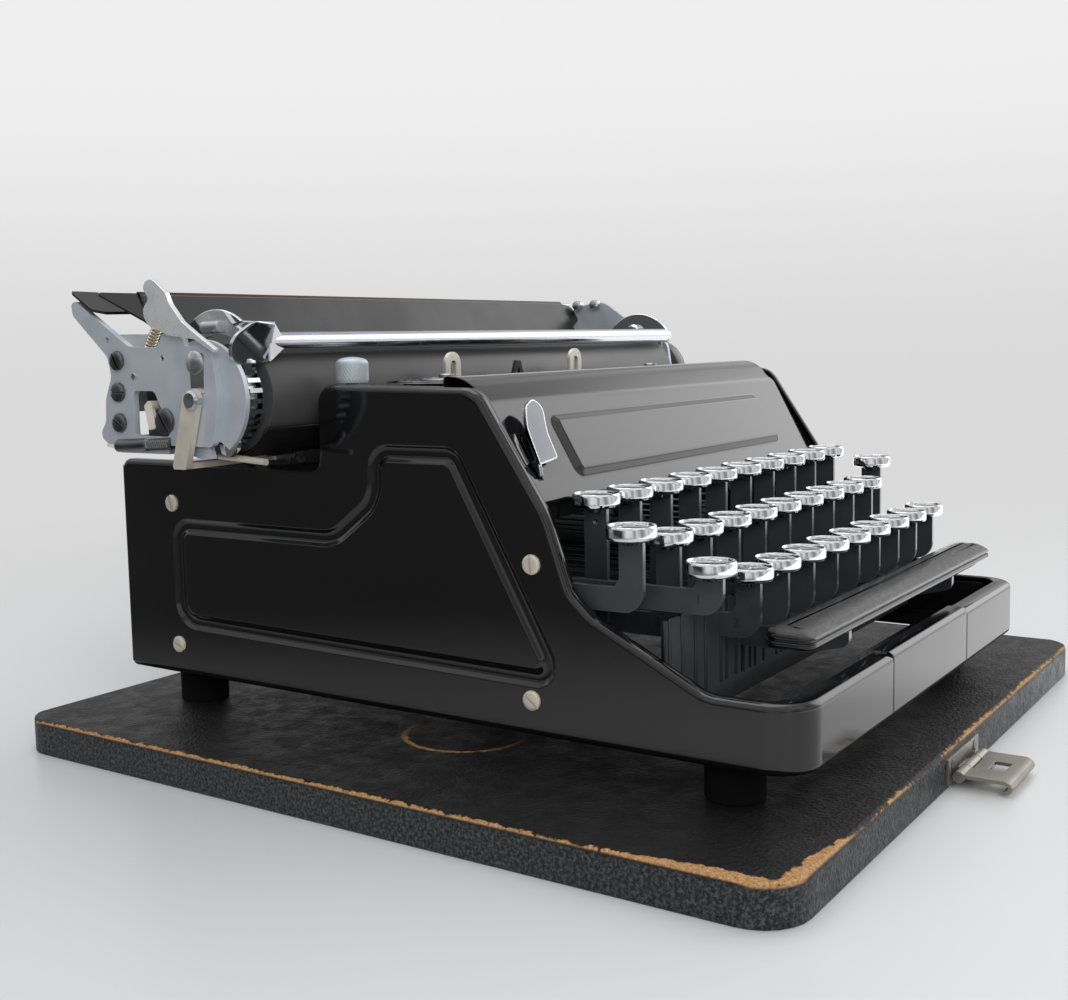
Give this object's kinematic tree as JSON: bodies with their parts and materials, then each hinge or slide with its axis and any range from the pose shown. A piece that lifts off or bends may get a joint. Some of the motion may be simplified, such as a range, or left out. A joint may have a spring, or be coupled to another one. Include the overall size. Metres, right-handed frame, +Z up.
{
  "type": "portable typewriter",
  "caption": "Portable three-row typewriter on its case's base board, with swinging key levers, a sliding carriage and a turning platen.",
  "frame": {"origin": "the middle of the base board's underside, where the object stands on a table", "axes": "+X runs to the typist's right, along the platen; +Y runs from the keyboard to the back; +Z is up"},
  "size_m": [0.293, 0.2868, 0.1505],
  "materials": {
    "board_cloth": "black leathercloth over a wooden board, worn through to tan fibre along the edge",
    "black_enamel": "high-gloss black stove enamel",
    "satin_nickel": "blue-grey plated steel, satin",
    "chrome": "bright chrome plate",
    "warm_nickel": "aged warm nickel plate",
    "dark_steel": "blackened steel",
    "platen_rubber": "black rubber roller, ground smooth",
    "rubber": "black rubber",
    "gloss_black_plastic": "moulded glossy black plastic",
    "brass_wire": "brass-coloured spring wire"
  },
  "bodies": {
    "machine": {"base_board": "board_cloth", "rubber_feet": "rubber", "catch_plate": "warm_nickel", "side_panel_left": "black_enamel", "side_panel_right": "black_enamel", "front_plate": "black_enamel", "rear_panel": "black_enamel", "inner_frame": "dark_steel", "panel_screws": "warm_nickel", "top_cover": "black_enamel", "lever_comb": "satin_nickel", "fulcrum_rod": "satin_nickel", "type_basket": "satin_nickel", "ribbon_guides": "warm_nickel", "carriage_rail": "satin_nickel"},
    "hasp": {"catch_hasp": "warm_nickel"},
    "space": {"space_bar": "gloss_black_plastic"},
    "spool_left": {"ribbon_spool_left": "dark_steel"},
    "spool_right": {"ribbon_spool_right": "dark_steel"},
    "winder": {"winder_knob": "satin_nickel"},
    "colour": {"colour_lever": "chrome"},
    "carriage": {"carriage_plate_left": "satin_nickel", "carriage_frame": "satin_nickel", "paper_table": "black_enamel", "lever_spring": "brass_wire"},
    "platen_roll": {"platen": "platen_rubber"},
    "line_lever": {"line_space_lever": "chrome"},
    "bail": {"paper_bail": "chrome"},
    "release": {"release_link": "warm_nickel"},
    "lever_q": {"key_q": "dark_steel"},
    "lever_w": {"key_w": "dark_steel"},
    "lever_e": {"key_e": "dark_steel"},
    "lever_r": {"key_r": "dark_steel"},
    "lever_t": {"key_t": "dark_steel"},
    "lever_y": {"key_y": "dark_steel"},
    "lever_u": {"key_u": "dark_steel"},
    "lever_i": {"key_i": "dark_steel"},
    "lever_o": {"key_o": "dark_steel"},
    "lever_p": {"key_p": "dark_steel"},
    "lever_a": {"key_a": "dark_steel"},
    "lever_s": {"key_s": "dark_steel"},
    "lever_d": {"key_d": "dark_steel"},
    "lever_f": {"key_f": "dark_steel"},
    "lever_g": {"key_g": "dark_steel"},
    "lever_h": {"key_h": "dark_steel"},
    "lever_j": {"key_j": "dark_steel"},
    "lever_k": {"key_k": "dark_steel"},
    "lever_l": {"key_l": "dark_steel"},
    "lever_z": {"key_z": "dark_steel"},
    "lever_x": {"key_x": "dark_steel"},
    "lever_c": {"key_c": "dark_steel"},
    "lever_v": {"key_v": "dark_steel"},
    "lever_b": {"key_b": "dark_steel"},
    "lever_n": {"key_n": "dark_steel"},
    "lever_m": {"key_m": "dark_steel"},
    "lever_comma": {"key_comma": "dark_steel"},
    "lever_stop": {"key_stop": "dark_steel"},
    "lever_fig": {"key_fig": "dark_steel"},
    "lever_caps": {"key_caps": "dark_steel"},
    "lever_back": {"key_back": "dark_steel"}
  },
  "joints": [
    {"name": "press_space", "type": "hinge", "parent": "machine", "child": "space", "pos_m": [0, 0.055, 0.0508], "axis": [1, 0, 0], "range_deg": [0, 2.7], "stiffness_Nm_per_rad": 0.3, "springref_deg": -22.92},
    {"name": "carriage_travel", "type": "slide", "parent": "machine", "child": "carriage", "axis": [1, 0, 0], "range_m": [-0.105, 0.09]},
    {"name": "platen_turn", "type": "hinge", "parent": "carriage", "child": "platen_roll", "pos_m": [0, 0.051, 0.115], "axis": [1, 0, 0], "continuous": true},
    {"name": "line_space", "type": "hinge", "parent": "carriage", "child": "line_lever", "pos_m": [-0.1285, 0.0615, 0.1364], "axis": [0, 1, 0], "range_deg": [0, 20], "stiffness_Nm_per_rad": 0.05, "springref_deg": -5.73},
    {"name": "bail_lift", "type": "hinge", "parent": "carriage", "child": "bail", "pos_m": [0, 0.0665, 0.127], "axis": [-1, 0, 0], "range_deg": [0, 40]},
    {"name": "release_swing", "type": "hinge", "parent": "carriage", "child": "release", "pos_m": [-0.1309, 0.051, 0.115], "axis": [1, 0, 0], "range_deg": [0, 10], "stiffness_Nm_per_rad": 0.03, "springref_deg": -5.73},
    {"name": "colour_select", "type": "hinge", "parent": "machine", "child": "colour", "pos_m": [-0.0915, -0.024, 0.0915], "axis": [-1, 0, 0], "range_deg": [0, 10]},
    {"name": "spool_left_turn", "type": "hinge", "parent": "machine", "child": "spool_left", "pos_m": [-0.066, 0.0082, 0.1185], "axis": [0, 0, 1], "continuous": true},
    {"name": "spool_right_turn", "type": "hinge", "parent": "machine", "child": "spool_right", "pos_m": [0.066, 0.0082, 0.1185], "axis": [0, 0, 1], "continuous": true},
    {"name": "winder_turn", "type": "hinge", "parent": "machine", "child": "winder", "pos_m": [-0.0922, 0.0242, 0.1185], "axis": [0, 0, 1], "continuous": true},
    {"name": "hasp_swing", "type": "hinge", "parent": "machine", "child": "hasp", "pos_m": [-0.01, -0.1374, 0.0038], "axis": [-1, 0, 0], "range_deg": [0, 88]},
    {"name": "press_q", "type": "hinge", "parent": "machine", "child": "lever_q", "pos_m": [-0.0805, 0.055, 0.0508], "axis": [1, 0, 0], "range_deg": [0, 5.2], "stiffness_Nm_per_rad": 0.12, "springref_deg": -20.05},
    {"name": "press_w", "type": "hinge", "parent": "machine", "child": "lever_w", "pos_m": [-0.06145, 0.055, 0.0508], "axis": [1, 0, 0], "range_deg": [0, 5.2], "stiffness_Nm_per_rad": 0.12, "springref_deg": -20.05},
    {"name": "press_e", "type": "hinge", "parent": "machine", "child": "lever_e", "pos_m": [-0.0424, 0.055, 0.0508], "axis": [1, 0, 0], "range_deg": [0, 5.2], "stiffness_Nm_per_rad": 0.12, "springref_deg": -20.05},
    {"name": "press_r", "type": "hinge", "parent": "machine", "child": "lever_r", "pos_m": [-0.02335, 0.055, 0.0508], "axis": [1, 0, 0], "range_deg": [0, 5.2], "stiffness_Nm_per_rad": 0.12, "springref_deg": -20.05},
    {"name": "press_t", "type": "hinge", "parent": "machine", "child": "lever_t", "pos_m": [-0.0043, 0.055, 0.0508], "axis": [1, 0, 0], "range_deg": [0, 5.2], "stiffness_Nm_per_rad": 0.12, "springref_deg": -20.05},
    {"name": "press_y", "type": "hinge", "parent": "machine", "child": "lever_y", "pos_m": [0.01475, 0.055, 0.0508], "axis": [1, 0, 0], "range_deg": [0, 5.2], "stiffness_Nm_per_rad": 0.12, "springref_deg": -20.05},
    {"name": "press_u", "type": "hinge", "parent": "machine", "child": "lever_u", "pos_m": [0.0338, 0.055, 0.0508], "axis": [1, 0, 0], "range_deg": [0, 5.2], "stiffness_Nm_per_rad": 0.12, "springref_deg": -20.05},
    {"name": "press_i", "type": "hinge", "parent": "machine", "child": "lever_i", "pos_m": [0.05285, 0.055, 0.0508], "axis": [1, 0, 0], "range_deg": [0, 5.2], "stiffness_Nm_per_rad": 0.12, "springref_deg": -20.05},
    {"name": "press_o", "type": "hinge", "parent": "machine", "child": "lever_o", "pos_m": [0.0719, 0.055, 0.0508], "axis": [1, 0, 0], "range_deg": [0, 5.2], "stiffness_Nm_per_rad": 0.12, "springref_deg": -20.05},
    {"name": "press_p", "type": "hinge", "parent": "machine", "child": "lever_p", "pos_m": [0.09095, 0.055, 0.0508], "axis": [1, 0, 0], "range_deg": [0, 5.2], "stiffness_Nm_per_rad": 0.12, "springref_deg": -20.05},
    {"name": "press_a", "type": "hinge", "parent": "machine", "child": "lever_a", "pos_m": [-0.0745, 0.055, 0.0508], "axis": [1, 0, 0], "range_deg": [0, 5.2], "stiffness_Nm_per_rad": 0.12, "springref_deg": -20.05},
    {"name": "press_s", "type": "hinge", "parent": "machine", "child": "lever_s", "pos_m": [-0.05545, 0.055, 0.0508], "axis": [1, 0, 0], "range_deg": [0, 5.2], "stiffness_Nm_per_rad": 0.12, "springref_deg": -20.05},
    {"name": "press_d", "type": "hinge", "parent": "machine", "child": "lever_d", "pos_m": [-0.0364, 0.055, 0.0508], "axis": [1, 0, 0], "range_deg": [0, 5.2], "stiffness_Nm_per_rad": 0.12, "springref_deg": -20.05},
    {"name": "press_f", "type": "hinge", "parent": "machine", "child": "lever_f", "pos_m": [-0.01735, 0.055, 0.0508], "axis": [1, 0, 0], "range_deg": [0, 5.2], "stiffness_Nm_per_rad": 0.12, "springref_deg": -20.05},
    {"name": "press_g", "type": "hinge", "parent": "machine", "child": "lever_g", "pos_m": [0.0017, 0.055, 0.0508], "axis": [1, 0, 0], "range_deg": [0, 5.2], "stiffness_Nm_per_rad": 0.12, "springref_deg": -20.05},
    {"name": "press_h", "type": "hinge", "parent": "machine", "child": "lever_h", "pos_m": [0.02075, 0.055, 0.0508], "axis": [1, 0, 0], "range_deg": [0, 5.2], "stiffness_Nm_per_rad": 0.12, "springref_deg": -20.05},
    {"name": "press_j", "type": "hinge", "parent": "machine", "child": "lever_j", "pos_m": [0.0398, 0.055, 0.0508], "axis": [1, 0, 0], "range_deg": [0, 5.2], "stiffness_Nm_per_rad": 0.12, "springref_deg": -20.05},
    {"name": "press_k", "type": "hinge", "parent": "machine", "child": "lever_k", "pos_m": [0.05885, 0.055, 0.0508], "axis": [1, 0, 0], "range_deg": [0, 5.2], "stiffness_Nm_per_rad": 0.12, "springref_deg": -20.05},
    {"name": "press_l", "type": "hinge", "parent": "machine", "child": "lever_l", "pos_m": [0.0779, 0.055, 0.0508], "axis": [1, 0, 0], "range_deg": [0, 5.2], "stiffness_Nm_per_rad": 0.12, "springref_deg": -20.05},
    {"name": "press_z", "type": "hinge", "parent": "machine", "child": "lever_z", "pos_m": [-0.065, 0.055, 0.0508], "axis": [1, 0, 0], "range_deg": [0, 5.2], "stiffness_Nm_per_rad": 0.12, "springref_deg": -20.05},
    {"name": "press_x", "type": "hinge", "parent": "machine", "child": "lever_x", "pos_m": [-0.04595, 0.055, 0.0508], "axis": [1, 0, 0], "range_deg": [0, 5.2], "stiffness_Nm_per_rad": 0.12, "springref_deg": -20.05},
    {"name": "press_c", "type": "hinge", "parent": "machine", "child": "lever_c", "pos_m": [-0.0269, 0.055, 0.0508], "axis": [1, 0, 0], "range_deg": [0, 5.2], "stiffness_Nm_per_rad": 0.12, "springref_deg": -20.05},
    {"name": "press_v", "type": "hinge", "parent": "machine", "child": "lever_v", "pos_m": [-0.00785, 0.055, 0.0508], "axis": [1, 0, 0], "range_deg": [0, 5.2], "stiffness_Nm_per_rad": 0.12, "springref_deg": -20.05},
    {"name": "press_b", "type": "hinge", "parent": "machine", "child": "lever_b", "pos_m": [0.0112, 0.055, 0.0508], "axis": [1, 0, 0], "range_deg": [0, 5.2], "stiffness_Nm_per_rad": 0.12, "springref_deg": -20.05},
    {"name": "press_n", "type": "hinge", "parent": "machine", "child": "lever_n", "pos_m": [0.03025, 0.055, 0.0508], "axis": [1, 0, 0], "range_deg": [0, 5.2], "stiffness_Nm_per_rad": 0.12, "springref_deg": -20.05},
    {"name": "press_m", "type": "hinge", "parent": "machine", "child": "lever_m", "pos_m": [0.0493, 0.055, 0.0508], "axis": [1, 0, 0], "range_deg": [0, 5.2], "stiffness_Nm_per_rad": 0.12, "springref_deg": -20.05},
    {"name": "press_comma", "type": "hinge", "parent": "machine", "child": "lever_comma", "pos_m": [0.06835, 0.055, 0.0508], "axis": [1, 0, 0], "range_deg": [0, 5.2], "stiffness_Nm_per_rad": 0.12, "springref_deg": -20.05},
    {"name": "press_stop", "type": "hinge", "parent": "machine", "child": "lever_stop", "pos_m": [0.0874, 0.055, 0.0508], "axis": [1, 0, 0], "range_deg": [0, 5.2], "stiffness_Nm_per_rad": 0.12, "springref_deg": -20.05},
    {"name": "press_fig", "type": "hinge", "parent": "machine", "child": "lever_fig", "pos_m": [-0.09525, 0.055, 0.0508], "axis": [1, 0, 0], "range_deg": [0, 5.2], "stiffness_Nm_per_rad": 0.12, "springref_deg": -20.05},
    {"name": "press_caps", "type": "hinge", "parent": "machine", "child": "lever_caps", "pos_m": [-0.08825, 0.055, 0.0508], "axis": [1, 0, 0], "range_deg": [0, 5.2], "stiffness_Nm_per_rad": 0.12, "springref_deg": -20.05},
    {"name": "press_back", "type": "hinge", "parent": "machine", "child": "lever_back", "pos_m": [0.09445, 0.055, 0.0508], "axis": [1, 0, 0], "range_deg": [0, 5.2], "stiffness_Nm_per_rad": 0.12, "springref_deg": -20.05}
  ],
  "couplings": [
    {"joint": "spool_right_turn", "follows": "spool_left_turn", "ratio": 1}
  ]
}
